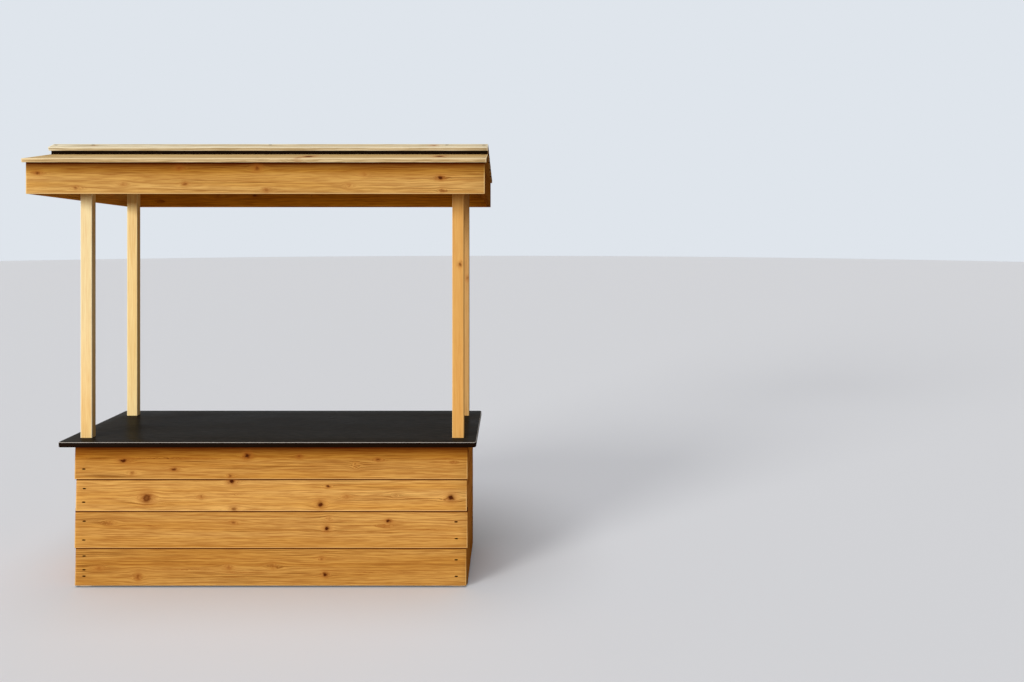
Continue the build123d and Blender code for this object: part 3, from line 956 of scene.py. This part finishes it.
ridge = measure("ridge_board", DOWN)
upward = ridge.turn.col[2]
low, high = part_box("eave_board_front")
front = high.y - (FELT_THICKNESS + FELT_PLAY) * MM
top = (ridge.lowest.z * MM - upward.y * high.y) / upward.z
felt = bmesh.new()
block(felt, (low.x + FELT_INSET * MM, front, high.z - FELT_BELOW * MM),
      (high.x - FELT_INSET * MM, front + FELT_THICKNESS * MM, top + FELT_ABOVE * MM))
small_parts(felt, "ridge_shade_felt", "roof_boards", "black_felt_for_ridge_shade")
print("felt strip", round((top - high.z) / MM), "mm high")

# %% [markdown]
# ## The fascias
# A plain board closes the front of the roof and another the rear. Their upper edge is sawn to the slope that
# lies on it, and their lower arris is rounded. The top of each board is painted with the eave's shade, which
# fades over a hand's breadth, and the rear one's deep, warm tint paints the shade under the roof.

# %% Fascias
FASCIA_ARRIS = 3
FASCIA_SHADE = (95, 0, 1.18, 0)
FASCIAS = [
    # node, the way its back looks, tint
    ("fascia_front", REAR, (0.98, 1.07, 1.3)),
    ("fascia_rear", FRONT, (1.08, 0.88, 0.27)),
]
for number, (node, back, tint) in enumerate(FASCIAS):
    board = measure(node, back)
    seed = 80 + number
    wood = pine(board, f"oiled_pine_{node}", "oiled", (30, -95), 12, knots_of(board, seed + 4, 7), seed,
                tint, (board.size.y / 2, *FASCIA_SHADE))
    make_board(board, f"roof_{node}", "fascia_boards", slab_section(board), wood, seed, FASCIA_ARRIS)
print(len(FASCIAS), "fascias of", round(board.size.x), "mm")

# %% [markdown]
# ## The worktop
# The worktop is a chipboard slab under black laminate, with a black band glued round its
# edge. Its four corners are rounded, and it is cut out round the posts. The slab is a cube
# whose upright edges and rims are bevelled, and a boolean saws the post holes, because that
# is what a saw does. The laminate is nearly smooth, so it has a soft sheen, and wiping has
# left faint smears in its tone and its sheen.

# %% Worktop
CORNER_RADIUS = 18
RIM_RADIUS = 3
UNDER_RADIUS = 5
HOLE_CLEARANCE = 1
# A face of the rounded rim that looks up this much is painted pale, for wear and as a painted highlight
RUBBED_AND_HIGHLIT_SLOPE = 0.4
# A wiped smear is long one way, and a laminate's printed pores are finer than a millimetre,
# so they are drawn 4 mm across and 60 mm long. Both are given as how many fit in a metre.
SMEARS = (1.6, 7.0, 7.0)
PORES = (16.0, 240.0, 240.0)
PORE_SHARE = 0.6
SMEAR_SHARE = 0.4
LAMINATE_ROUGHNESS = (0.26, 0.4)
# A stronger reflection would mirror the pale background and turn the worktop grey
WORKTOP_SPECULAR = 0.004

laminate, tree, shader = new_material("satin_black_laminate")
where = add(tree, "TexCoord").outputs["Object"]
smear = add(tree, "Mapping", {"Vector": where, "Scale": SMEARS})
smear = add(tree, "TexNoise", {"Vector": smear, "Scale": 1.0, "Detail": 4.0, "Roughness": 0.6})
pores = add(tree, "Mapping", {"Vector": where, "Scale": PORES})
pores = add(tree, "TexNoise", {"Vector": pores, "Scale": 1.0, "Detail": 3.0})
pores = add(tree, "MapRange", {"Value": pores, "From Min": 0.4, "From Max": 0.65})
share = add(tree, "Math", {0: pores, 1: PORE_SHARE}, "MULTIPLY")
share = add(tree, "Math", {0: smear, 1: SMEAR_SHARE, 2: share}, "MULTIPLY_ADD")
tone = add(tree, "Mix", {"Factor": share, "A": linear("1c1812"), "B": linear("3b352c")}, data_type="RGBA")
tree.links.new(tone.outputs["Result"], shader.inputs["Base Color"])
sheen = add(tree, "MapRange", {"Value": smear, "From Min": 0.3, "From Max": 0.7,
                               "To Min": LAMINATE_ROUGHNESS[0], "To Max": LAMINATE_ROUGHNESS[1]})
tree.links.new(sheen.outputs["Result"], shader.inputs["Roughness"])
raised = add(tree, "Bump", {"Height": pores, "Strength": 0.15, "Distance": 0.1 * MM})
tree.links.new(raised.outputs["Normal"], shader.inputs["Normal"])
shader.inputs["Specular IOR Level"].default_value = WORKTOP_SPECULAR

low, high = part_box("worktop")
bm = bmesh.new()
block(bm, low, high)
upright = [e for e in bm.edges if abs(e.verts[0].co.z - e.verts[1].co.z) > 0.5 * (high.z - low.z)]
ease(bm, upright, CORNER_RADIUS * MM, 6)
for level, radius, steps in ((high.z, RIM_RADIUS, 4), (low.z, UNDER_RADIUS, 3)):
    ease(bm, [e for e in bm.edges if all(abs(v.co.z - level) < 0.1 * MM for v in e.verts)],
         radius * MM, steps)
worktop = to_object(bm, "worktop_slab")
bm = bmesh.new()
for side in ("front_left", "front_right", "rear_left", "rear_right"):
    post_low, post_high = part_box("post_" + side)
    play = Vector((HOLE_CLEARANCE, HOLE_CLEARANCE, 0)) * MM
    block(bm, (*(post_low - play).xy, low.z - 0.1), (*(post_high + play).xy, high.z + 0.1))
carve(worktop, to_object(bm, "cutter"))
for material in (laminate, simple["black_edge_band"], simple["rubbed_and_highlit_laminate_arris"]):
    worktop.data.materials.append(material)
for face in worktop.data.polygons:
    level = face.normal.z
    face.material_index = 0 if level > SQUARE_ON else 2 if level > RUBBED_AND_HIGHLIT_SLOPE else 1
smooth(worktop)
keep_piece(worktop, "worktop", "worktop")
print("worktop", [round(v / MM) for v in high - low], "mm with", len(worktop.data.polygons), "faces")

# %% [markdown]
# ## Bolts
# Under the roof each beam lies in a notch of its post, and two carriage bolts hold it
# there. A carriage bolt has a low dome outside, and a washer and a nut inside. The dome is
# a curve spun about the bolt's line. One bolt is made, then set at every place.

# %% Bolts
DOME = [(0, 5), (4, 4.5), (7.5, 3.1), (10, 1.1), (10.5, 0)]
SPIN_STEPS = 20
BOLT_RISES = (-20, 20)
INSIDE = [
    # Washer, nut and the bolt's own end: sides, radius, radius of its tip, thickness, how far
    # it starts from the wood
    (24, 12, 12, 2, 0),
    (6, 9.5, 9.5, 7, 2),
    (12, 4, 3, 6, 9),
]


def bolt(depth):
    """A bolt along Z in mm: its dome's foot at 0, and the wood's far face at -depth."""
    bm = bmesh.new()
    curve = [bm.verts.new((radius, 0, rise)) for radius, rise in DOME]
    edges = [bm.edges.new(pair) for pair in zip(curve, curve[1:])]
    bmesh.ops.spin(bm, geom=curve + edges, cent=(0, 0, 0), axis=(0, 0, 1), angle=math.tau,
                   steps=SPIN_STEPS, use_merge=True)
    bmesh.ops.remove_doubles(bm, verts=bm.verts, dist=0.01)
    rim = [e for e in bm.edges if e.is_boundary]
    bmesh.ops.contextual_create(bm, geom=rim)
    bmesh.ops.recalc_face_normals(bm, faces=bm.faces)
    for sides, radius, tip, thick, start in INSIDE:
        ring_place = Matrix.Translation((0, 0, -depth - start - thick / 2))
        bmesh.ops.create_cone(bm, cap_ends=True, segments=sides, radius1=tip, radius2=radius,
                              depth=thick, matrix=ring_place)
    return bm


bolts = bmesh.new()
for side, facing in (("front", FRONT), ("rear", REAR)):
    low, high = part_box("beam_" + side)
    post_low, post_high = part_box(f"post_{side}_right")
    outer, inner = (low.y, post_high.y) if facing is FRONT else (high.y, post_low.y)
    turn = UP.rotation_difference(facing).to_matrix()
    for end in (-1, 1):
        for rise in BOLT_RISES:
            one = bolt(abs(outer - inner) / MM)
            spot = Vector((end * post_line.x * MM, outer, (low.z + high.z) / 2 + rise * MM))
            one.transform(set_place(turn, spot))
            mesh = bpy.data.meshes.new("one_bolt")
            one.to_mesh(mesh)
            one.free()
            bolts.from_mesh(mesh)
            bpy.data.meshes.remove(mesh)
piece = small_parts(bolts, "carriage_bolts", "framing", "dull_zinc_plate")
smooth(piece)
print("8 carriage bolts with", len(piece.data.polygons), "faces")

# %% [markdown]
# ## Timber that keeps its CAD mesh
# Posts, rails, beams, rafters and gable boards have the right shape as they are, so they only get their pine.
# The pattern is solid, so the grain frame alone says which way each piece was sawn. The four posts came from
# different trunks: the left ones are nearly white, and the right ones are yellower, and their darker tints
# also paint the shade on the side away from the light. The front left post is painted with shade that deepens
# towards its foot. The right gable board is tinted much darker than the left one, which paints the shade on
# the side turned from the light.

# %% Dress the CAD timber
PLAIN = (1, 1, 1)
TIMBERS = [
    # node, finish, the way its widest back face looks, grain if not level, tint
    # The right posts' darker tints also paint the shade on the side away from the light
    ("post_front_left", "pale", REAR, UP, (1.03, 1.12, 1.12)),
    ("post_front_right", "pale", REAR, UP, (0.8, 0.57, 0.285)),
    ("post_rear_left", "pale", REAR, UP, (1.0, 0.99, 0.8)),
    ("post_rear_right", "pale", REAR, UP, (0.65, 0.49, 0.3)),
    ("rail_front", "sawn", REAR, None, PLAIN),
    ("rail_rear", "sawn", FRONT, None, PLAIN),
    ("rail_left", "sawn", RIGHT, None, PLAIN),
    ("rail_right", "sawn", LEFT, None, PLAIN),
    ("beam_front", "sawn", REAR, None, PLAIN),
    ("beam_rear", "sawn", FRONT, None, PLAIN),
    ("rafter_left", "sawn", RIGHT, None, PLAIN),
    ("rafter_middle", "sawn", RIGHT, None, PLAIN),
    ("rafter_right", "sawn", LEFT, None, PLAIN),
    # The right gable board's far darker tint paints the shade on the side turned from the light
    ("gable_board_left", "oiled", RIGHT, None, (1.15, 1.2, 1.15)),
    ("gable_board_right", "oiled", LEFT, None, (0.57, 0.44, 0.31)),
]
# Painted shade that deepens and warms down the front left post, towards the worktop
LENGTHWISE_SHADE = {"post_front_left": (420, -280, (0.92, 0.76, 0.55))}
timber_dice = random.Random(90)
for number, (node, finish, back, along, tint) in enumerate(TIMBERS):
    board = measure(node, back, along)
    seed = 100 + number
    pith = (timber_dice.uniform(-30, 30), -timber_dice.uniform(40, 90))
    wood = pine(board, f"{finish}_pine_{node}", finish, pith, timber_dice.uniform(-15, 15),
                knots_of(board, seed, 3), seed, tint, lengthwise_shade=LENGTHWISE_SHADE.get(node))
    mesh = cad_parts[node].data
    mesh.materials.clear()
    mesh.materials.append(wood)
print(len(TIMBERS), "pieces of CAD timber dressed")

low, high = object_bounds()
